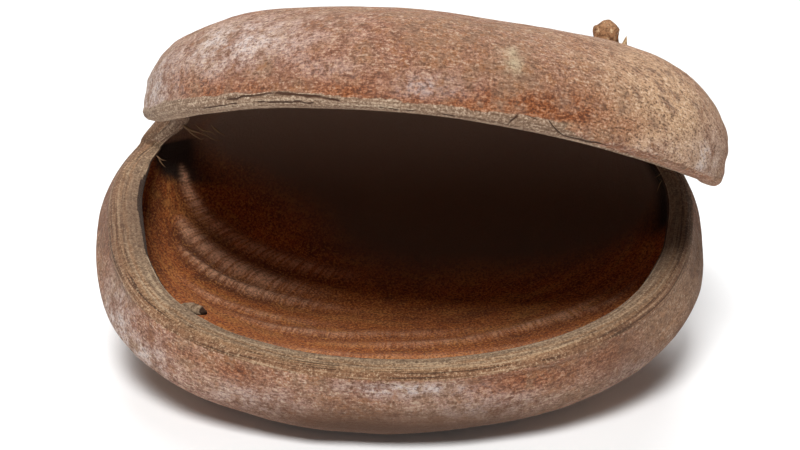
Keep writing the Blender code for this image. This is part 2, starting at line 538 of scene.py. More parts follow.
    def broken(self, mask: str, value: Socket, edge: Span) -> Socket:
        """A mask that the mesh carries, broken up where a value hasn't passed a soft edge."""
        return self.times(self.attribute(mask), self.step(value, *edge))

    def bands(self, value: Socket, stops: tuple[tuple[float, Colour], ...]) -> Socket:
        """A colour read off a row of stops by a value from 0 to 1."""
        ramp = self.tree.nodes.new("ShaderNodeValToRGB")
        self.put(value, ramp.inputs["Fac"])
        steps = ramp.color_ramp.elements
        steps[0].position, steps[0].color = stops[0][0], (*stops[0][1], 1.0)
        steps[1].position, steps[1].color = stops[-1][0], (*stops[-1][1], 1.0)
        for at, colour in stops[1:-1]:
            steps.new(at).color = (*colour, 1.0)
        return ramp.outputs["Color"]

    def bump(self, height: Socket, distance: float, under: Socket | None = None) -> Socket:
        """Small relief on the surface.

        Args:
            height: Its height from 0 to 1.
            distance: What a height of 1 stands for, in metres.
            under: Coarser relief that it lies on.

        Returns:
            The surface direction for the shader.
        """
        node = self.tree.nodes.new("ShaderNodeBump")
        node.inputs["Distance"].default_value = distance
        self.put(height, node.inputs["Height"])
        if under is not None:
            self.put(under, node.inputs["Normal"])
        return node.outputs["Normal"]


@dataclass(frozen=True)
class PodFinish:
    """The pod's colours and nap: velvety skin, fibrous lip and combed lining."""

    skin: Colour = shade(160, 122, 96)
    skin_dark: Colour = shade(78, 50, 36)
    skin_pale: Colour = shade(230, 208, 182)
    skin_red: Colour = shade(146, 98, 76)
    skin_ochre: Colour = shade(164, 108, 66)
    skin_rose: Colour = shade(186, 142, 122)
    skin_brown: Colour = shade(92, 64, 48)
    crack: Colour = shade(70, 43, 27)
    rust: Colour = shade(165, 98, 54)
    rust_dark: Colour = shade(112, 58, 30)
    bloom_and_sheen: Colour = shade(206, 190, 184)
    gold: Colour = shade(212, 170, 130)
    lichen: Colour = shade(198, 180, 148)
    strip: Colour = shade(148, 120, 97)
    strip_pale: Colour = shade(196, 172, 146)
    strip_dark: Colour = shade(98, 72, 54)
    lip_outer: Colour = shade(140, 100, 72)
    lip_tan: Colour = shade(162, 124, 90)
    lip_grey: Colour = shade(150, 124, 98)
    lip_pale: Colour = shade(212, 184, 150)
    lip_line: Colour = shade(70, 45, 29)
    rim_pale: Colour = shade(232, 212, 180)
    lining: Colour = shade(192, 103, 46)
    lining_dark: Colour = shade(96, 44, 20)
    lining_gold: Colour = shade(236, 164, 86)
    lining_pink: Colour = shade(246, 190, 152)
    # The next two colours are painted shade, laid on the lining where it lies in shadow.
    lining_painted_shade: Colour = shade(120, 98, 84)
    lining_painted_gloom: Colour = shade(44, 32, 25)
    membrane: Colour = shade(48, 27, 14)
    cracks: tuple[Crack, ...] = (
        Crack((15.6, -1.2), (17.4, 0.9), 0.20), Crack((17.4, 0.9), (20.0, 0.8), 0.13),
        Crack((21.8, 0.8), (24.4, -1.0), 0.16), Crack((-26.0, 0.3), (-18.6, 0.9), 0.20),
        Crack((-18.4, 0.9), (-9.0, 0.0), 0.30), Crack((-30.0, -0.6), (-24.6, -0.3), 0.14),
        Crack((-21.0, -0.3), (-13.0, -0.5), 0.22), Crack((24.5, -0.9), (31.0, -1.4), 0.24),
        Crack((-3.0, -0.9), (8.0, -1.0), 0.14), Crack((33.0, -1.8), (41.0, -2.0), 0.15),
    )

    crack_wobble: float = 0.0008
    line_depth: float = 0.00018
    nap_depth: float = 0.00045
    roughness: float = 0.93
    sheen_tint: Colour = (1.0, 0.87, 0.74)
    nap: tuple[tuple[str, float], ...] = (
        ("Specular IOR Level", 0.22), ("Sheen Weight", 0.10), ("Sheen Roughness", 0.45),
    )

    def skin_colour(self, board: NodeBoard, speckle: Socket, hairs: Socket) -> Socket:
        """Colour of the outside.

        Args:
            board: The material's nodes.
            speckle: Fine grains from 0 to 1.
            hairs: Fine streaks along the lip from 0 to 1.

        Returns:
            The colour.
        """
        patches = board.noise(board.place(), 95.0, 3.0, 0.6)
        clouds = board.noise(board.place(), 330.0, 4.0, 0.7)
        mottle = board.noise(board.place(), 880.0, 3.0, 0.7)
        both = board.plus(board.times(speckle, 0.56), board.times(hairs, 0.44))
        base = board.mix(board.step(patches, 0.38, 0.58), self.skin_red, self.skin)
        base = board.tint(base, self.skin_rose, clouds, (0.48, 0.62), 0.60)
        base = board.tint(base, self.skin_ochre, mottle, (0.50, 0.60), 0.60)
        base = board.tint(base, self.skin_dark, mottle, (0.48, 0.38), 0.35)
        base = board.tint(base, self.skin_brown, clouds, (0.48, 0.36), 0.18)
        gold = board.broken("gold", clouds, (0.30, 0.55))
        base = board.mix(gold, base, self.gold)
        rust = board.broken("rust", clouds, (0.34, 0.56))
        base = board.mix(rust, base, board.mix(board.step(both, 0.44, 0.58), self.rust_dark, self.rust))
        # Pale bloom patches, partly painted highlight and sheen.
        bloom_and_sheen = board.broken("bloom_and_sheen", clouds, (0.30, 0.64))
        bloom_and_sheen = board.times(bloom_and_sheen, board.plus(board.step(mottle, 0.36, 0.58), 0.25))
        base = board.mix(bloom_and_sheen, base, self.bloom_and_sheen)
        spot = board.broken("lichen", clouds, (0.32, 0.56))
        base = board.mix(spot, base, self.lichen)
        loud = board.plus(board.times(board.attribute("gold"), 0.30), 0.64)
        dark = board.times(board.step(both, 0.50, 0.41), loud)
        base = board.mix(dark, base, self.skin_dark)
        pale = board.times(board.step(both, 0.515, 0.61), board.step(clouds, 0.22, 0.60))
        pale = board.times(pale, board.minus(1.0, board.times(rust, 0.65)))
        return board.mix(board.times(pale, loud), base, self.skin_pale)

    def strip_colour(self, board: NodeBoard, speckle: Socket, lines: Socket) -> Socket:
        """Colour of the smooth strip along the upper lip. It takes the skin's values."""
        base = board.tint(self.strip, self.strip_dark, lines, (0.48, 0.36), 0.75)
        base = board.tint(base, self.strip_pale, lines, (0.52, 0.64), 0.60)
        base = board.tint(base, self.strip_dark, speckle, (0.50, 0.40), 0.75)
        return board.tint(base, self.skin_pale, speckle, (0.53, 0.63), 0.60)

    def lip_colour(self, board: NodeBoard, speckle: Socket, lines: Socket) -> Socket:
        """Colour of the lip, in bands from its outer edge to its inner one. It takes the skin's values."""
        band = board.attribute("band")
        wander = board.minus(board.noise(board.attribute("grain", True), 190.0, 3.0), 0.5)
        place = board.plus(band, board.times(wander, 0.30))
        base = board.bands(place, (
            (0.0, self.lip_outer), (0.20, self.lip_outer), (0.36, self.lip_tan), (0.46, self.lip_grey),
            (0.52, self.lip_tan), (0.62, self.lip_grey), (0.88, self.lip_grey), (0.95, self.lip_pale),
        ))
        mottle = board.noise(board.place(), 700.0, 3.0, 0.7)
        base = board.tint(base, self.lip_line, mottle, (0.50, 0.38), 0.38)
        base = board.tint(base, self.lip_outer, mottle, (0.54, 0.64), 0.40)
        loud = board.plus(board.times(board.step(place, 0.75, 0.25), 0.65), 0.32)
        thin = board.streaks(board.attribute("grain", True), (52.0, 52.0, 4300.0), 2.0, 0.5)
        crack = board.times(board.step(thin, 0.385, 0.33), board.step(place, 0.62, 0.40))
        base = board.tint(base, self.lip_line, lines, (0.48, 0.36), loud)
        base = board.tint(base, self.lip_pale, lines, (0.53, 0.66), 0.50)
        base = board.tint(base, self.lip_line, speckle, (0.50, 0.39), 0.60)
        base = board.tint(base, self.lip_pale, speckle, (0.53, 0.64), 0.62)
        rim = board.times(board.step(band, 0.90, 0.96), board.step(mottle, 0.40, 0.52))
        base = board.mix(board.times(rim, 0.8), base, self.rim_pale)
        return board.mix(board.times(crack, 0.85), base, self.membrane)

    def lining_colour(self, board: NodeBoard, speckle: Socket) -> Socket:
        """Colour of the inside. It takes the skin's values."""
        grain = board.attribute("grain", True)
        patches = board.noise(board.place(), 130.0, 3.0, 0.6)
        base = board.mix(board.step(patches, 0.16, 0.46), self.lining_dark, self.lining)
        streaks = board.streaks(grain, (50.0, 50.0, 420.0), 3.0, 0.6)
        base = board.tint(base, self.lining_gold, streaks, (0.52, 0.64), 0.35)
        base = board.tint(base, self.lining_dark, streaks, (0.46, 0.36), 0.35)
        comb = board.streaks(grain, (1500.0, 1500.0, 200.0), 3.0, 0.6)
        pink = board.times(board.attribute("pink"), board.plus(board.step(comb, 0.38, 0.62), 0.38))
        # Painted shade in the hollows beside the ridges, which the relief also sinks.
        base = board.mix(board.attribute("groove"), base, self.lining_dark)
        base = board.tint(base, self.lining_dark, speckle, (0.50, 0.41), 0.80)
        base = board.tint(base, self.lining_gold, speckle, (0.53, 0.62), 0.75)
        base = board.mix(board.attribute("fleck"), base, self.lining_gold)
        # Painted shade over the lining's roof and its shadowed ends.
        base = board.mix(board.attribute("gloom"), base, self.lining_painted_gloom)
        grains = board.plus(board.times(board.step(speckle, 0.40, 0.56), 0.55), 0.55)
        base = board.mix(board.times(pink, grains), base, self.lining_pink)
        # Painted shade: a dim greyer colour over the lining's far part and roof, where it lies in shadow.
        return board.mix(board.attribute("deep"), base, self.lining_painted_shade)

    def material(self) -> bpy.types.Material:
        """Builds the material, which reads the masks that the shell carries."""
        board = NodeBoard("pod_husk")
        grain = board.attribute("grain", True)
        far = board.attribute("far")
        speckle = board.noise(board.place(), 2500.0, 4.0, 0.75)
        nearby = board.streaks(grain, (1000.0, 1000.0, 2500.0), 3.0, 0.7)
        hairs = board.blend(far, nearby, board.noise(board.place(), 1700.0, 2.0, 0.6))
        lines = board.streaks(grain, (64.0, 64.0, 2300.0), 3.0, 0.6)
        ragged = board.minus(board.noise(board.place(), 1100.0, 4.0, 0.7), 0.5)
        ragged = board.times(ragged, 1.1)
        on_lip, on_strip, inside = [
            board.step(board.plus(board.attribute(name), ragged), 0.40, 0.60)
            for name in ("lip", "strip", "inside")
        ]

        colour = self.skin_colour(board, speckle, hairs)
        colour = board.mix(on_strip, colour, self.strip_colour(board, speckle, lines))
        colour = board.mix(on_lip, colour, self.lip_colour(board, speckle, lines))
        # Darker brown patches: the skin's own tone, and painted shade low on the belly and on the right.
        colour = board.mix(board.attribute("brown_and_shade"), colour, self.skin_brown)
        colour = board.mix(inside, colour, self.lining_colour(board, speckle))
        wobble = board.vector("SUBTRACT", board.colour_noise(board.place(), 420.0), Vector((0.5, 0.5, 0.5)))
        place = board.attribute("lip_place", True)
        place = board.vector("ADD", place, board.vector("SCALE", wobble, self.crack_wobble))
        split = self.cracks[0].draw(board, place)
        for crack in self.cracks[1:]:
            split = board.sum("MAXIMUM", split, crack.draw(board, place))
        split = board.times(split, board.attribute("upper_skin"))
        dark = board.step(board.plus(board.attribute("dark"), board.times(ragged, 0.6)), 0.35, 0.65)
        colour = board.mix(dark, colour, self.membrane)
        board.put(board.mix(split, colour, self.crack), board.shader.inputs["Base Color"])

        nap = board.plus(board.times(speckle, 0.65), board.times(hairs, 0.35))
        nap = board.minus(nap, board.times(split, 0.5))
        relief = board.bump(nap, self.nap_depth, board.bump(lines, self.line_depth))
        board.put(relief, board.shader.inputs["Normal"])
        smoother = board.times(board.sum("MAXIMUM", on_lip, on_strip), 0.16)
        board.put(board.minus(self.roughness, smoother), board.shader.inputs["Roughness"])
        for name, value in self.nap:
            board.shader.inputs[name].default_value = value
        board.shader.inputs["Sheen Tint"].default_value = (*self.sheen_tint, 1.0)
        return board.material


@dataclass
class PodShell:
    """The whole pod as one closed skin: outside, lip and lining."""

    form: PodForm
    finish: PodFinish = PodFinish()
    around: int = 320
    outer_rings: int = 146
    lip_rings: int = 15
    inner_rings: int = 134
    girth: float = 78.0
    upper_strip: Table = (
        (-60, -0.2), (-46, 0.0), (-42, 1.0), (-36, 1.5), (-30, 1.2), (-24, 1.2), (-17, 1.2), (-10, 0.5),
        (-3, 0.4), (5, 0.3), (12, 0.2), (16, 0.7), (19, 1.1), (23, 0.9), (26, -0.6), (30, -1.8), (36, -2.8),
        (44, -3.8), (60, -4.5),
    )
    # Width of the dark film along the lining's edge, by u in degrees; near the mouth's left corner it is
    # painted shade.
    dark_edge: Table = (
        (0, 0.4), (180, 0.5), (205, 0.8), (222, 1.2), (232, 1.7), (242, 1.5), (247, 0.8), (254, 0.4),
        (262, 0.2), (280, 0.2), (300, 0.45), (330, 0.9), (360, 0.4),
    )
    film_edge: Table = ((212, 0.0), (222, 1.0), (234, 1.1), (243, 0.9), (248, 0.5), (253, 0.0))
    flap: Table = (
        (190, 0.0), (205, 0.6), (212, 1.4), (222, 2.0), (234, 2.2), (242, 2.0), (247, 1.6), (253, 1.2),
        (258, 1.1), (264, 0.6), (275, 0.4), (300, 0.4), (320, 0.5), (345, 0.0),
    )
    droop: Table = (
        (90, 0.0), (95, 0.3), (99, 0.5), (102, 0.9), (106, 1.3), (110, 1.4), (114, 1.0), (120, 0.4),
        (128, 0.0),
    )
    # Where the painted shade over the lining's far part begins, by u in degrees.
    shade_edge: Table = (
        (180, 0.62), (200, 0.66), (215, 0.70), (240, 0.71), (252, 0.69), (262, 0.64), (270, 0.62),
        (280, 0.60), (290, 0.55), (300, 0.50), (310, 0.44), (325, 0.34), (345, 0.34), (360, 0.6),
    )
    # Where the painted shade at the lining's two ends begins, by u in degrees.
    gloom_edge: Table = (
        (120, 0.0), (170, 0.0), (185, 0.08), (196, 0.27), (204, 0.38), (210, 0.45), (216, 0.54),
        (222, 0.63), (228, 0.70), (234, 0.80), (290, 0.80), (298, 0.60), (304, 0.44), (310, 0.28),
        (316, 0.12), (322, 0.02), (345, 0.0), (360, 0.0),
    )
    rust_stains: tuple[Stain, ...] = (
        Stain((-32, -18, 57.6), (7, 8, 1.9), 1.6), Stain((-24, -24.5, 60.0), (6, 6, 1.8), 1.2),
        Stain((0, -32, 61.2), (10, 5, 2.0), 1.2), Stain((25, -31, 58.4), (9, 5, 2.6), 1.5),
        Stain((12, -33, 60.6), (8, 5, 1.8), 1.1), Stain((-14, -26, 65), (6, 5, 3.0), 0.6),
        Stain((-6, -30, 62), (8, 5, 2.0), 0.7), Stain((34, -28, 54.5), (6, 5, 2.0), 0.7),
        Stain((8, -27, 66), (16, 9, 5), 0.38),
        Stain((-42.5, -13, 15.5), (2.5, 3, 1.8), 0.9), Stain((-34, -21, 14.2), (4, 3, 1.5), 0.8),
        Stain((-26, -26.5, 13.0), (6, 4, 2.2), 1.1), Stain((20, -28.5, 12.4), (12, 4, 2.2), 1.2),
        Stain((34, -21, 14.0), (8, 5, 2.4), 0.9), Stain((-49, 4, 24), (3, 6, 5), 0.5),
    )
    # Pale bloom, partly painted light: the streak along the belly just under the lip is a painted
    # highlight, and the pale patches at the left end, right tip and top are painted sheen.
    bloom_and_sheen_stains: tuple[Stain, ...] = (
        Stain((-42, -8, 54), (8, 10, 8), 1.1), Stain((-29, -15, 64), (10, 8, 4), 1.0),
        Stain((-18, -20, 67), (10, 7, 4), 0.45), Stain((4, -31.5, 62.5), (6, 3, 1.6), 0.7),
        Stain((-47, -8, 15), (4, 8, 6), 0.9), Stain((-41, -16, 11), (6, 6, 3.5), 0.9),
        Stain((-24, -26, 8.5), (10, 6, 3), 0.6), Stain((1, -31, 12.4), (9, 3, 1.4), 1.2),
        Stain((14, -29, 8), (12, 6, 3), 0.55), Stain((48, -16, 45), (5, 6, 4), 0.8),
        Stain((38, -25, 49), (8, 4, 2.4), 0.7), Stain((28, 0, 66), (12, 7, 4), 0.6),
        Stain((38, -17, 9), (8, 6, 4), 0.4), Stain((-10, -28, 64), (5, 4, 1.5), 0.3),
    )
    gold_stains: tuple[Stain, ...] = (
        Stain((40, -19, 54), (17, 16, 13), 0.9), Stain((-46, -4, 50), (5, 8, 6), 0.5),
        Stain((44, -8, 20), (8, 12, 9), 0.6), Stain((-36, -18, 60), (5, 5, 4), 0.5),
    )
    # Darker patches: those low on the belly and on the right side are painted shade, the rest darken the
    # skin's own tone.
    brown_and_shade_stains: tuple[Stain, ...] = (
        Stain((50, 0, 18), (14, 26, 12), 0.62), Stain((36, -20, 12), (12, 8, 6), 0.4),
        Stain((8, -28, 5), (26, 8, 5), 0.6), Stain((-46, 8, 26), (8, 17, 9), 0.54),
        Stain((10, -25, 64), (18, 10, 7), 0.2),
        Stain((-15, -29, 6), (16, 6, 3), 0.4), Stain((0, -26, 2), (36, 10, 4), 0.5),
    )
    lichen_stains: tuple[Stain, ...] = (
        Stain((17, -28, 64.8), (1.4, 2.4, 1.6), 1.1), Stain((16.2, -25.5, 66.4), (1.0, 1.5, 0.8), 0.9),
        Stain((24, -31.2, 56.4), (1.5, 1, 0.4), 0.8),
    )
    fleck_stains: tuple[Stain, ...] = (
        Stain((-43.0, 27.0, 22.1), (0.8, 0.8, 0.6), 0.5), Stain((-41.5, 27.7, 20.3), (0.9, 0.7, 0.5), 0.6),
        Stain((-40.2, 27.6, 18.6), (1.4, 0.7, 0.4), 0.4),
    )
    ridges: tuple[Ridge, ...] = (
        Ridge(((203, 0.62), (211, 0.637), (231, 0.655), (257, 0.666), (268, 0.672)), 0.8, 0.012),
        Ridge(((230, 0.597), (241, 0.608), (256, 0.614), (265, 0.618)), 1.0, 0.015),
        Ridge(((238, 0.562), (248, 0.571), (257, 0.580), (268, 0.588)), 1.0, 0.009),
        Ridge(((244, 0.500), (252, 0.512), (260, 0.530), (268, 0.536)), 0.5, 0.008),
        Ridge(((252, 0.490), (261, 0.498), (268, 0.514), (280, 0.520)), 0.5, 0.008),
        Ridge(((262, 0.470), (272, 0.482), (282, 0.498), (296, 0.500)), 0.45, 0.009),
        Ridge(((276, 0.500), (285, 0.487), (290, 0.458), (300, 0.450)), 0.4, 0.009),
        Ridge(((255, 0.430), (264, 0.438), (276, 0.440), (290, 0.436)), 0.3, 0.008),
    )
    left_tip: Fade = Fade(-45, 4)
    right_tip: Fade = Fade(44, 5)
    roof_gloom: Fade = Fade(30, 40)
    left_gloom: Fade = Fade(-32, 34)
    roof_shade: Fade = Fade(24, 16)
    far_side: Fade = Fade(0.45, 0.3)
    edge_passes: int = 6
    lumps: tuple[Relief, ...] = (
        Relief(-0.42, (16, 16, 12), 3), Relief(-0.16, (6, 6, 5), 7), Relief(0.035, (1.4, 1.4, 1.4), 17),
    )
    wrinkles: tuple[Relief, ...] = (Relief(0.15, (13, 13, 2.4), 11), Relief(0.07, (5, 5, 1.1), 13))
    lip_layers: tuple[Relief, ...] = (Relief(0.14, (24, 24, 0.85), 19), Relief(0.07, (9, 9, 0.5), 23))
    combing: Relief = Relief(0.08, (1.2, 1.2, 4.0), 29)
    lining_lumps: Relief = Relief(0.14, (5, 5, 5), 31)
    lining_folds: Relief = Relief(0.06, (11, 11, 1.6), 37)
    raised: tuple[tuple[str, float], ...] = (("pink", 0.8), ("groove", -0.4), ("strip", 0.2))
    skin_sunk: float = 0.3

    def stations(self) -> tuple[np.ndarray, np.ndarray, np.ndarray]:
        """Where the rings lie, from the back's outside over the lip to the back's inside.

        Returns:
            For each ring, its zone, its v, and its share of the way through the wall.
        """
        out = (np.arange(self.outer_rings, -1, -1) / self.outer_rings) ** 1.1
        lip = np.arange(1, self.lip_rings + 1) / (self.lip_rings + 1)
        into = (np.arange(0, self.inner_rings + 1) / self.inner_rings) ** 1.1
        zone = np.repeat([int(part) for part in Zone], [len(out), len(lip), len(into)])
        v = np.concatenate([out, np.zeros(len(lip)), into])
        share = np.concatenate([np.zeros(len(out)), lip, np.ones(len(into))])
        return zone, v, share

    def base_grid(self) -> tuple[np.ndarray, np.ndarray, np.ndarray, np.ndarray, np.ndarray]:
        """The smooth shell, before its relief.

        Returns:
            Its points as a grid of rings, and each one's zone, u, v and share through the wall.
        """
        zone, v, share = self.stations()
        v, u = np.meshgrid(v, self.form.ring_angles(self.around), indexing="ij")
        zone = np.repeat(zone[:, None], self.around, 1)
        share = np.repeat(share[:, None], self.around, 1)
        wall = self.form.wall_at(u, v)
        wall = np.where((zone == Zone.LINING) & (v > 0.999), self.form.wall, wall)
        wall = wall + read_table(self.flap, np.degrees(u)) / MM * (1 - smooth(v / 0.10))
        crown = self.form.lip_crown * (1 - abs(2 * share - 1) ** 3) * (zone == Zone.LIP)
        crown = crown + read_table(self.droop, np.degrees(u)) / MM * (1 - smooth(v / 0.12))
        flat = [a.ravel() for a in (u, v, share * wall, crown)]
        return self.form.surface(*flat).reshape(*u.shape, 3), zone, u, v, share

    def soften_edges(self, grid: np.ndarray) -> None:
        """Rounds the lip's two edges, moving the grid's own points."""
        for edge in (self.outer_rings, self.outer_rings + self.lip_rings + 1):
            for _ in range(self.edge_passes):
                for ring in range(edge - 2, edge + 3):
                    grid[ring] = 0.5 * grid[ring] + 0.25 * (grid[ring - 1] + grid[ring + 1])

    def directions(self, grid: np.ndarray) -> np.ndarray:
        """The way out of the surface at each point of the grid."""
        along = np.roll(grid, -1, axis=1) - np.roll(grid, 1, axis=1)
        down = np.gradient(grid, axis=0)
        out = np.cross(along, down)
        out /= np.maximum(np.linalg.norm(out, axis=2, keepdims=True), TINY)
        return out

    def grain_space(self, grid: np.ndarray) -> tuple[np.ndarray, np.ndarray]:
        """Coordinates that follow the lip, for grain that runs along it.

        Args:
            grid: The shell's points.

        Returns:
            A ring of the lip's own length wound round Z, whose Z grows from ring to ring; and the
            distance up the skin from the lip, below 0 past its outer edge. Both are in millimetres.
        """
        steps = np.linalg.norm(np.diff(grid, axis=0), axis=2) * MM
        run = np.concatenate([np.zeros((1, self.around)), np.cumsum(steps, axis=0)])
        across = run[self.outer_rings] - run
        zone, v, share = self.stations()
        level = np.where(zone == Zone.SKIN, v, -v) * self.girth - share * self.form.lip_wall * MM
        edge = grid[self.outer_rings]
        hops = np.linalg.norm(np.roll(edge, -1, axis=0) - edge, axis=1) * MM
        angle = TURN * np.concatenate([[0], np.cumsum(hops)[:-1]]) / hops.sum()
        reach = hops.sum() / TURN
        angle, level = np.meshgrid(angle, level)
        return np.stack([reach * np.cos(angle), reach * np.sin(angle), level], -1), across

    def strip_cover(self, at: ShellPoints, wander: np.ndarray) -> np.ndarray:
        """The smooth strip up the skin from the upper lip, which ends short of the half's two tips.

        Args:
            at: The shell's points.
            wander: How far its edge strays at each, from about -1 to 1.

        Returns:
            A value from 0 to 1 for each point.
        """
        x, y = at.place[:, 0], at.place[:, 1]
        cover = 1 - smooth((at.across - read_table(self.upper_strip, x) - 0.35 * wander) / 0.9 + 0.5)
        between_tips = self.left_tip.rise(x) * self.right_tip.fall(x)
        return cover * np.where(y < 5, between_tips, 1.0)

    def film_cover(self, at: ShellPoints, wander: np.ndarray) -> np.ndarray:
        """The dark film at the lining's edge and on the inner part of the lip; near the mouth's left corner
        it is painted shade.

        Args:
            at: The shell's points.
            wander: How far its edge strays at each, from about -1 to 1.

        Returns:
            A value from 0 to 1 for each point.
        """
        rim = self.form.wall_at(at.u, np.zeros_like(at.u)) * MM + read_table(self.flap, at.degrees)
        past = (-at.across - rim) / read_table(self.dark_edge, at.degrees)
        on_lining = 1 - smooth((past - 0.8 - 0.4 * wander) / 0.5)
        reach = read_table(self.film_edge, at.degrees) + 0.15 * wander
        on_lip = 1 - smooth(((1 - at.share) * rim - reach + 0.3) / 0.3)
        return (at.zone == Zone.LINING) * on_lining + (at.zone == Zone.LIP) * on_lip

    def gloom_cover(self, at: ShellPoints) -> np.ndarray:
        """Painted shade on the lining where it lies in shadow: its roof, its left end and its right end.

        Args:
            at: The shell's points.

        Returns:
            A value from 0 to 1 for each point.
        """
        roof = 0.35 + 0.4 * self.roof_gloom.rise(abs(at.degrees - 90))
        ends = smooth((at.v + 0.03 - read_table(self.gloom_edge, at.degrees)) / 0.16)
        left = 0.26 * self.left_gloom.fall(at.place[:, 0])
        gloom = np.where(at.degrees < 180, roof, np.maximum(ends, left))
        return gloom * (1 - smooth((at.v - np.where(at.degrees < 245, 0.64, 0.42)) / 0.2))

    def ridge_cover(self, at: ShellPoints, aside: float) -> np.ndarray:
        """The lining's ridges, or the hollows beside them.

        Args:
            at: The shell's points.
            aside: How many of each ridge's widths the line lies aside from its crest.

        Returns:
            A value from 0 to about 1 for each point.
        """
        return sum(
            ridge.cover(at.degrees, at.v + aside * ridge.width) * ridge.height for ridge in self.ridges
        )

    def masks(self, at: ShellPoints) -> dict[str, np.ndarray]:
        """The parts of the shell that each colour covers.

        Args:
            at: The shell's points.

        Returns:
            A value from 0 to 1 for each point, by the mask's name.
        """
        degrees = at.degrees
        upper, skin, lining = degrees < 180, at.zone == Zone.SKIN, at.zone == Zone.LINING
        wander = rumple(at.place, (3, 3, 3), 51, 2)
        upper_lip = upper * smooth((90 - abs(90 - degrees)) / 28)
        lower_edge = ~upper * skin * 0.45 * (1 - smooth(at.across / 0.8 - 0.4 * wander))
        corner = skin * smooth(2 - abs(degrees - 178) / 26) * smooth((7 - at.across) / 4 + 0.3 * wander)
        # Painted shade over the lining's far part and over the upper half's roof.
        far_in = smooth((at.v - read_table(self.shade_edge, degrees)) / 0.13)
        shut = upper * self.roof_shade.rise(at.place[:, 2])
        found = {
            "lip": np.maximum(np.where(at.zone == Zone.LIP, 1.0, lower_edge) * (1 - upper_lip), corner),
            "strip": ~lining * upper_lip * self.strip_cover(at, wander),
            "band": np.where(at.zone == Zone.LIP, at.share, 0.0),
            "inside": lining * 1.0,
            "dark": self.film_cover(at, wander),
            "pink": lining * self.ridge_cover(at, 0.0),
            # Hollows beside the ridges: sunk in the relief and darkened as painted shade.
            "groove": lining * 0.8 * self.ridge_cover(at, 1.7),
            # Painted shade on the lining's roof and its two ends.
            "gloom": lining * self.gloom_cover(at),
            # Painted shade where the lining lies in shadow.
            "deep": lining * np.maximum(far_in, shut),
            "far": self.far_side.rise(at.v),
            "upper_skin": (upper & ~lining) * 1.0,
        }
        for name, where, stains in (
            ("rust", skin, self.rust_stains), ("bloom_and_sheen", skin, self.bloom_and_sheen_stains),
            ("gold", skin, self.gold_stains), ("lichen", skin, self.lichen_stains),
            ("brown_and_shade", ~lining, self.brown_and_shade_stains), ("fleck", lining, self.fleck_stains),
        ):
            found[name] = where * sum(stain.cover(at.place) for stain in stains)
        return {name: np.clip(value, 0.0, 1.0) for name, value in found.items()}

    def relief(self, at: ShellPoints, masks: dict[str, np.ndarray]) -> np.ndarray:
        """How far each point is raised above the smooth shell.

        Args:
            at: The shell's points.
            masks: What each colour covers.

        Returns:
            The height in millimetres.
        """
        lip, inside = masks["lip"] + masks["strip"], masks["inside"]
        skin = (1 - lip) * (1 - inside)
        calm = 0.3 + 0.7 * smooth(at.v / 0.02)
        rough = sum(layer.over(at.place) for layer in self.lumps)
        rough = rough + sum(layer.over(at.grain) for layer in self.wrinkles)
        layers = sum(layer.over(at.grain) for layer in self.lip_layers)
        combed = self.combing.over(at.grain) * np.clip(masks["pink"] + 0.1, 0, 1)
        soft = self.lining_lumps.over(at.place) + self.lining_folds.over(at.grain) + combed
        raised = sum(height * masks[name] for name, height in self.raised)
        return skin * (calm * rough - self.skin_sunk) + lip * layers + inside * soft + raised

    def build(self) -> bpy.types.Object:
        """Models the shell and dresses it.

        Returns:
            The pod's object.
        """
        grid, zone, u, v, share = self.base_grid()
        self.soften_edges(grid)
        grain, across = self.grain_space(grid)
        rows = [part.ravel() for part in (zone, u, v, share, across)]
        at = ShellPoints(grid.reshape(-1, 3) * MM, grain.reshape(-1, 3), *rows)
        masks = self.masks(at)
        height = self.relief(at, masks).reshape(grid.shape[:2])
        height[0], height[-1] = height[0].mean(), height[-1].mean()
        shaped = grid + self.directions(grid) * height[..., None] / MM
        shaped[..., 2] = np.maximum(shaped[..., 2], 0.0)
        close_ends(shaped)
        pod, pick = shaped_ball("pod_husk", shaped)
        for name, value in masks.items():
            carry(pod, name, value[pick])
        lip_place = np.stack([at.place[:, 0], at.across, np.zeros_like(at.across)], -1)
        carry(pod, "grain", at.grain[pick] / MM)
        carry(pod, "lip_place", lip_place[pick] / MM)
        mount(pod, self.finish.material(), "pod")
        return pod


@dataclass(frozen=True)
class WoodFinish:
    """A fibrous woody finish whose colours go over into each other by a mask: the stalk's torn pit, and
    painted shade on the nub's tip and the left fibres.
    """

    name: str
    body: Colour
    dark: Colour
    pale: Colour
    pit_and_shade: Colour
    grain: Point = (900.0, 900.0, 900.0)
    relief_depth: float = 0.0004
    roughness: float = 0.85
    shine: float = 0.25

    def material(self) -> bpy.types.Material:
        """Builds the material."""
        board = NodeBoard(self.name)
        lines = board.noise(board.place(self.grain), 1.0, 4.0, 0.7)
        specks = board.noise(board.place(), 2400.0, 3.0, 0.7)
        base = board.tint(self.body, self.dark, lines, (0.50, 0.38), 0.8)
        base = board.tint(base, self.pale, lines, (0.54, 0.66), 0.7)
        base = board.mix(board.step(board.attribute("pit_and_shade"), 0.35, 0.70), base, self.pit_and_shade)
        base = board.tint(base, self.dark, specks, (0.50, 0.38), 0.6)
        board.put(base, board.shader.inputs["Base Color"])
        board.put(board.bump(lines, self.relief_depth), board.shader.inputs["Normal"])
        board.shader.inputs["Roughness"].default_value = self.roughness
        board.shader.inputs["Specular IOR Level"].default_value = self.shine
        return board.material


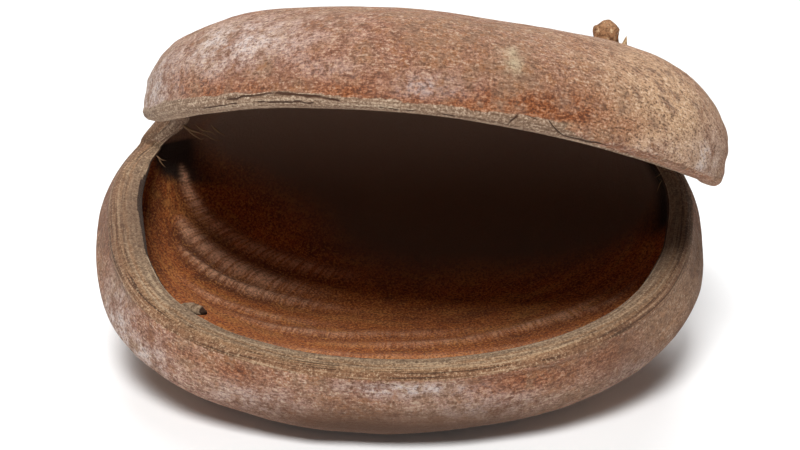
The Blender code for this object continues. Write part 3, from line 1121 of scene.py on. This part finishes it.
@dataclass
class StalkStub:
    """The broken fruit stalk on the upper half: a lumpy knob with a torn, pitted end."""

    form: PodForm
    u: float = 75.5
    v: float = 0.51
    radius: float = 0.0023
    height: float = 0.0048
    aside: float = 0.0010
    sunk: float = 0.0004
    around: int = 40
    profile: Table = (
        (-0.16, 1.15), (0.0, 1.15), (0.2, 0.95), (0.45, 0.88), (0.7, 1.0), (0.88, 0.96), (1.0, 0.72),
    )
    foot_height: float = -0.16
    pit_at: Span = (5.6, 0.66)
    pit_reach: Span = (0.55, 0.20)
    finish: WoodFinish = WoodFinish(
        "stalk_wood", shade(158, 116, 82), shade(80, 52, 32), shade(220, 190, 150), shade(206, 128, 60)
    )

    def frame_at(self) -> tuple[np.ndarray, np.ndarray, np.ndarray, np.ndarray]:
        """Where the stalk stands: its foot, its two sideways directions and its direction."""
        foot = np.array(self.form.point(self.u, self.v, self.sunk))
        along = np.array(self.form.point(self.u + 0.573, self.v, self.sunk)) - foot
        across = np.array(self.form.point(self.u, self.v + 0.005, self.sunk)) - foot
        out = np.cross(across, along)
        out /= np.linalg.norm(out)
        side = -along / np.linalg.norm(along)
        return foot, side, np.cross(out, side), out

    def build(self) -> bpy.types.Object:
        """Models the knob and dresses it.

        Returns:
            The stub's object.
        """
        foot, side, ahead, out = self.frame_at()
        heights = np.concatenate([
            np.full(7, 1.0), np.linspace(1.0, self.foot_height, 24)[1:], np.full(5, self.foot_height),
        ])
        shares = np.concatenate([np.linspace(0, 1, 8)[:-1], np.ones(23), np.linspace(1, 0, 6)[1:]])
        turn = ring_turns(self.around)
        heights, angle = np.meshgrid(heights, turn, indexing="ij")
        reach = shares[:, None] * read_table(self.profile, heights) * (1 + 0.06 * np.sin(3 * angle))
        a, b = reach * np.cos(angle), reach * np.sin(angle)
        end = (heights > 0.999) * 1.0
        off_turn = ((angle - self.pit_at[0] + math.pi) % TURN - math.pi) / self.pit_reach[0]
        off_height = (heights - self.pit_at[1]) / self.pit_reach[1]
        pit_and_shade = np.exp(-(off_turn**2) - off_height**2)
        pit_and_shade = pit_and_shade * (shares[:, None] > 0.8)
        place = np.stack([a * 2.5, b * 2.5, heights * 4.6], -1)
        rough = rumple(place.reshape(-1, 3), (1.4, 1.4, 2.2), 61, 2).reshape(a.shape)
        swell = 1 + 0.07 * rough * (shares[:, None] > 0) - 0.22 * pit_and_shade
        a, b = a * swell * self.radius, b * swell * self.radius
        dome = 0.0009 * end * (1 - shares[:, None] ** 2)
        top = heights * self.height + dome + 0.00025 * rough * (heights > 0.6)
        grid = foot + (a[..., None] + self.aside) * side + b[..., None] * ahead + top[..., None] * out
        close_ends(grid)
        stub, pick = shaped_ball("stalk_knob", grid)
        carry(stub, "pit_and_shade", pit_and_shade.ravel()[pick])
        mount(stub, self.finish.material(), "stalk_stub")
        return stub


@dataclass
class LipNub:
    """The small hard nub on the lower lip's inner edge, grey, with painted shadow at its tip."""

    at: Point = (-33.2, -13.5, 18.5)
    run: Point = (2.0, -1.5, 0.1)
    girth: tuple[float, float] = (0.9, 0.9)
    around: int = 32
    finish: WoodFinish = WoodFinish(
        "nub_wood", shade(146, 122, 98), shade(86, 64, 46), shade(192, 168, 138), shade(46, 27, 16)
    )

    def build(self) -> bpy.types.Object:
        """Models the nub and dresses it.

        Returns:
            The nub's object.
        """
        long = np.array(self.run)
        up = np.array((0.0, 0.3, 1.0)) / math.hypot(0.3, 1.0)
        wide = np.cross(long, up)
        wide /= np.linalg.norm(wide)
        fall, turn = np.meshgrid(np.linspace(0, math.pi, 25), ring_turns(self.around), indexing="ij")
        ball = np.stack([np.cos(fall), np.sin(fall) * np.cos(turn), np.sin(fall) * np.sin(turn)], -1)
        flat = ball.reshape(-1, 3) * (1.9, 0.8, 0.8)
        size = (1 + 0.16 * rumple(flat, (0.9, 0.9, 0.9), 71, 2)).reshape(ball.shape[:2])[..., None]
        grid = np.array(self.at) + size * (ball[..., :1] * long + ball[..., 1:2] * wide * self.girth[0]
                                           + ball[..., 2:] * up * self.girth[1])
        close_ends(grid)
        nub, pick = shaped_ball("lip_nub", grid / MM)
        # The nub's far end gets the dark colour as painted shadow.
        carry(nub, "pit_and_shade", smooth((ball[..., 0] - 0.5) / 0.4).ravel()[pick])
        mount(nub, self.finish.material())
        return nub


@dataclass(frozen=True)
class Strand:
    """One torn fibre: the points that it runs through and its thickness, in millimetres."""

    track: tuple[Point, ...]
    girth: float
    around: int = 8
    rings: int = 14
    soft_passes: int = 4
    flatness: float = 0.5

    def build(self, name: str) -> bpy.types.Object:
        """Models the fibre as a closed tapering thread."""
        knots = np.array(self.track)
        share = np.linspace(0, 1, self.rings + 1)
        at_knots = np.linspace(0, 1, len(knots))
        spine = np.stack([np.interp(share, at_knots, row) for row in knots.T], -1)
        for _ in range(self.soft_passes):
            spine[1:-1] = 0.5 * spine[1:-1] + 0.25 * (spine[:-2] + spine[2:])
        ahead = np.gradient(spine, axis=0)
        wide = np.cross(ahead, (0.31, 0.57, 0.76))
        wide /= np.linalg.norm(wide, axis=1, keepdims=True)
        high = np.cross(wide, ahead)
        high /= np.linalg.norm(high, axis=1, keepdims=True)
        thick = self.girth / 2 * np.minimum(1.0, 4 * share) * (1.05 - share)
        turn = ring_turns(self.around)
        across, up = np.cos(turn)[None, :, None], np.sin(turn)[None, :, None]
        ring = across * wide[:, None] + up * high[:, None] * self.flatness
        grid = spine[:, None] + ring * thick[:, None, None]
        grid[0], grid[-1] = spine[0], spine[-1]
        return shaped_ball(name, grid / MM)[0]


@dataclass
class TornFibres:
    """Frayed fibres where the halves came apart, and by the stalk."""

    finish: WoodFinish = WoodFinish(
        "frayed_fibre", shade(176, 146, 108), shade(112, 82, 54), shade(226, 206, 172), shade(118, 90, 64)
    )
    strands: tuple[Strand, ...] = (
        Strand(((-38.4, 22.2, 37.8), (-36.4, 21.2, 36.4), (-34.6, 20.6, 36.3), (-33.2, 20.2, 35.6)), 1.3),
        Strand(((-37.6, 22.0, 36.9), (-35.2, 21.0, 35.3), (-34.2, 20.6, 34.9), (-33.6, 20.4, 35.4)), 0.9),
        Strand(((-35.6, 21.0, 37.8), (-34.0, 20.4, 36.6), (-32.4, 20.0, 36.6), (-31.4, 19.8, 35.8)), 0.9),
        Strand(((-34.2, 20.6, 36.4), (-32.4, 20.1, 35.2), (-30.4, 19.6, 35.0)), 0.7),
        Strand(((-32.6, 20.2, 37.8), (-31.2, 19.8, 36.6), (-29.8, 19.4, 36.0)), 0.9),
        Strand(((-42.6, 23.4, 31.0), (-41.6, 22.6, 30.4), (-40.6, 21.8, 30.6)), 0.8),
        Strand(((-42.2, 23.0, 30.6), (-41.4, 22.4, 29.6), (-40.8, 22.0, 29.2)), 0.7),
        Strand(((45.4, 20.4, 31.2), (44.6, 19.2, 30.4), (43.8, 18.6, 31.4)), 0.30),
        Strand(((46.0, 20.2, 30.4), (45.0, 19.0, 29.0), (43.6, 18.2, 28.6)), 0.30),
        Strand(((46.2, 19.8, 29.0), (45.0, 18.6, 27.6), (44.4, 18.0, 26.0)), 0.30),
        Strand(((46.0, 20.0, 29.6), (45.4, 18.9, 28.0), (44.6, 18.4, 28.6)), 0.26),
    )

    def build(self, stalk: StalkStub) -> bpy.types.Object:
        """Models the fibres as one piece and dresses it.

        Args:
            stalk: The stub that some of the fibres hang by.

        Returns:
            The fibres' object.
        """
        foot, side, ahead, out = stalk.frame_at()
        foot = foot * MM
        by_stalk = [
            Strand(tuple(tuple(foot + side * x + ahead * y + out * z) for x, y, z in track), girth)
            for track, girth in (
                (((2.8, 0.0, -0.6), (4.3, -0.2, 1.4), (4.5, -0.2, 4.0)), 2.9),
                (((2.6, -0.4, -0.2), (4.4, -0.6, 0.6), (5.6, -0.8, 1.8)), 2.2),
                (((3.0, 0.4, -0.6), (3.6, 0.6, 2.2), (3.4, 0.6, 3.6)), 1.4),
            )
        ]
        pieces = [strand.build(f"strand_{i}") for i, strand in enumerate([*self.strands, *by_stalk])]
        deselect()
        for piece in pieces:
            piece.select_set(True)
        bpy.context.view_layer.objects.active = pieces[0]
        bpy.ops.object.join()
        fibres = bpy.context.object
        fibres.name = fibres.data.name = "torn_fibres"
        at = np.empty(len(fibres.data.vertices) * 3)
        fibres.data.vertices.foreach_get("co", at)
        # Fibres left of the middle get the darker colour as painted shade.
        carry(fibres, "pit_and_shade", (at.reshape(-1, 3)[:, 0] < 0) * 1.0)
        mount(fibres, self.finish.material())
        return fibres


def shaped_ball(name: str, grid: np.ndarray) -> tuple[bpy.types.Object, np.ndarray]:
    """A sphere whose points are moved onto a grid, so that it stays closed.

    Args:
        name: The object's name.
        grid: Its points in metres, ring by ring, with all of the first ring and all of the last in one
            place. A ring's number of points divides by four, because only then does the sphere's
            first point lie on an axis.

    Returns:
        The object, smooth and facing outwards, and each of its points' place in the flattened grid.
    """
    rings, around = grid.shape[0] - 1, grid.shape[1]
    deselect()
    bpy.ops.mesh.primitive_uv_sphere_add(segments=around, ring_count=rings, radius=1.0, calc_uvs=True)
    piece = bpy.context.object
    piece.name = piece.data.name = name
    ball = np.empty(len(piece.data.vertices) * 3)
    piece.data.vertices.foreach_get("co", ball)
    ball = ball.reshape(-1, 3)
    ring = np.rint(np.arccos(np.clip(ball[:, 2], -1, 1)) / math.pi * rings).astype(int)
    turn = np.rint(np.arctan2(ball[:, 1], ball[:, 0]) / TURN * around).astype(int) % around
    piece.data.vertices.foreach_set("co", grid[ring, turn].ravel())
    face_outwards(piece)
    bpy.ops.object.shade_smooth()
    return piece, ring * around + turn


def ring_turns(around: int) -> np.ndarray:
    """The angles of a ring's points, evenly spaced."""
    return np.arange(around) / around * TURN


def close_ends(grid: np.ndarray) -> None:
    """Draws each of a grid's two end rings into one place, moving the grid's own points."""
    for end in (0, -1):
        grid[end] = grid[end].mean(axis=0)


def carry(piece: bpy.types.Object, name: str, value: np.ndarray) -> None:
    """Gives a piece a value, or a vector, at each of its points for its material to read."""
    vector = value.ndim == 2
    layer = piece.data.attributes.new(name, "FLOAT_VECTOR" if vector else "FLOAT", "POINT")
    layer.data.foreach_set("vector" if vector else "value", value.astype(np.float32).ravel())


def deselect() -> None:
    """Leaves nothing selected."""
    bpy.ops.object.select_all(action="DESELECT")


def face_outwards(piece: bpy.types.Object) -> None:
    """Turns the faces of a closed piece outwards."""
    deselect()
    piece.select_set(True)
    bpy.context.view_layer.objects.active = piece
    bpy.ops.object.mode_set(mode="EDIT")
    bpy.ops.mesh.select_all(action="SELECT")
    bpy.ops.mesh.normals_make_consistent(inside=False)
    bpy.ops.object.mode_set(mode="OBJECT")


def mount(piece: bpy.types.Object, material: bpy.types.Material,
          stands_for: str | None = None) -> None:
    """Dresses a piece and ties it to the frame.

    Args:
        piece: The piece.
        material: What it is dressed in.
        stands_for: The part that it takes the place of, if any.
    """
    piece.data.materials.append(material)
    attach(piece, "root")
    if stands_for is not None:
        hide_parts(stands_for)
    LOG.info("%s: %d faces", piece.name, len(piece.data.polygons))


class LightKind(Enum):
    """The studio's lamps."""

    KEY = "key"
    BACK = "back"


@dataclass(frozen=True)
class SoftLamp:
    """A square softbox: which lamp it is, where it stands, its size and its power."""

    kind: LightKind
    at: Point
    size: float
    power: float

    def build(self, aim: Vector) -> None:
        """Hangs the lamp so that it points at a place."""
        lamp = bpy.data.lights.new(self.kind.value, "AREA")
        lamp.energy, lamp.size = self.power, self.size
        holder = bpy.data.objects.new(self.kind.value, lamp)
        holder.location = self.at
        holder.rotation_euler = (aim - Vector(self.at)).to_track_quat("-Z", "Y").to_euler()
        bpy.context.scene.collection.objects.link(holder)


@dataclass
class Studio:
    """The pale floor, the soft light and the camera."""

    floor_size: float = 6.0
    floor_colour: Colour = (0.93, 0.93, 0.93)
    floor_roughness: float = 0.55
    floor_glow: float = 0.02
    floor_gap: float = 0.00005
    room_light: float = 0.06
    elevation: float = math.radians(22.5)
    distance: float = 0.36
    lens: float = 100.0
    nearest: float = 0.01
    aim: Point = (0.0, -0.007, 0.0304)
    lamps: tuple[SoftLamp, ...] = (
        SoftLamp(LightKind.KEY, (-0.08, -0.57, 0.85), 0.34, 12.0),
        SoftLamp(LightKind.BACK, (0.0, 0.70, 0.95), 0.9, 9.5),
    )

    def build_floor(self) -> None:
        """Lays the floor just under the pod."""
        deselect()
        bpy.ops.mesh.primitive_plane_add(size=self.floor_size, location=(0.0, 0.0, -self.floor_gap))
        floor = bpy.context.object
        floor.name = "floor"
        board = NodeBoard("floor_white")
        board.shader.inputs["Base Color"].default_value = (*self.floor_colour, 1.0)
        board.shader.inputs["Roughness"].default_value = self.floor_roughness
        board.shader.inputs["Emission Color"].default_value = (1.0, 1.0, 1.0, 1.0)
        board.shader.inputs["Emission Strength"].default_value = self.floor_glow
        floor.data.materials.append(board.material)

    def build_light(self) -> None:
        """Sets the room's even light and hangs the lamps."""
        world = bpy.data.worlds.new("studio")
        world.use_nodes = True
        world.node_tree.nodes["Background"].inputs["Color"].default_value = (1.0, 1.0, 1.0, 1.0)
        world.node_tree.nodes["Background"].inputs["Strength"].default_value = self.room_light
        bpy.context.scene.world = world
        for lamp in self.lamps:
            lamp.build(Vector(self.aim))

    def build_camera(self) -> None:
        """Stands the camera where the photograph was taken from."""
        camera = bpy.data.objects.new("camera", bpy.data.cameras.new("camera"))
        bpy.context.scene.collection.objects.link(camera)
        back = Vector((0.0, -math.cos(self.elevation), math.sin(self.elevation)))
        camera.location = Vector(self.aim) + back * self.distance
        camera.rotation_mode = "QUATERNION"
        camera.rotation_quaternion = (-back).to_track_quat("-Z", "Y")
        camera.data.lens = self.lens
        camera.data.clip_start = self.nearest
        bpy.context.scene.camera = camera
        bpy.context.scene.view_settings.view_transform = "Standard"

    def build(self) -> None:
        """Builds the whole studio."""
        self.build_floor()
        self.build_light()
        self.build_camera()
        LOG.info("studio: floor, %d lamps and camera", len(self.lamps))


def main() -> None:
    """Builds the pod piece by piece, then the studio round it."""
    logging.basicConfig(level=logging.INFO, format="%(message)s")
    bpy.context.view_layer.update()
    form = PodForm()
    PodShell(form).build()
    stalk = StalkStub(form)
    stalk.build()
    LipNub().build()
    TornFibres().build(stalk)
    Studio().build()


if __name__ == "__main__":
    main()
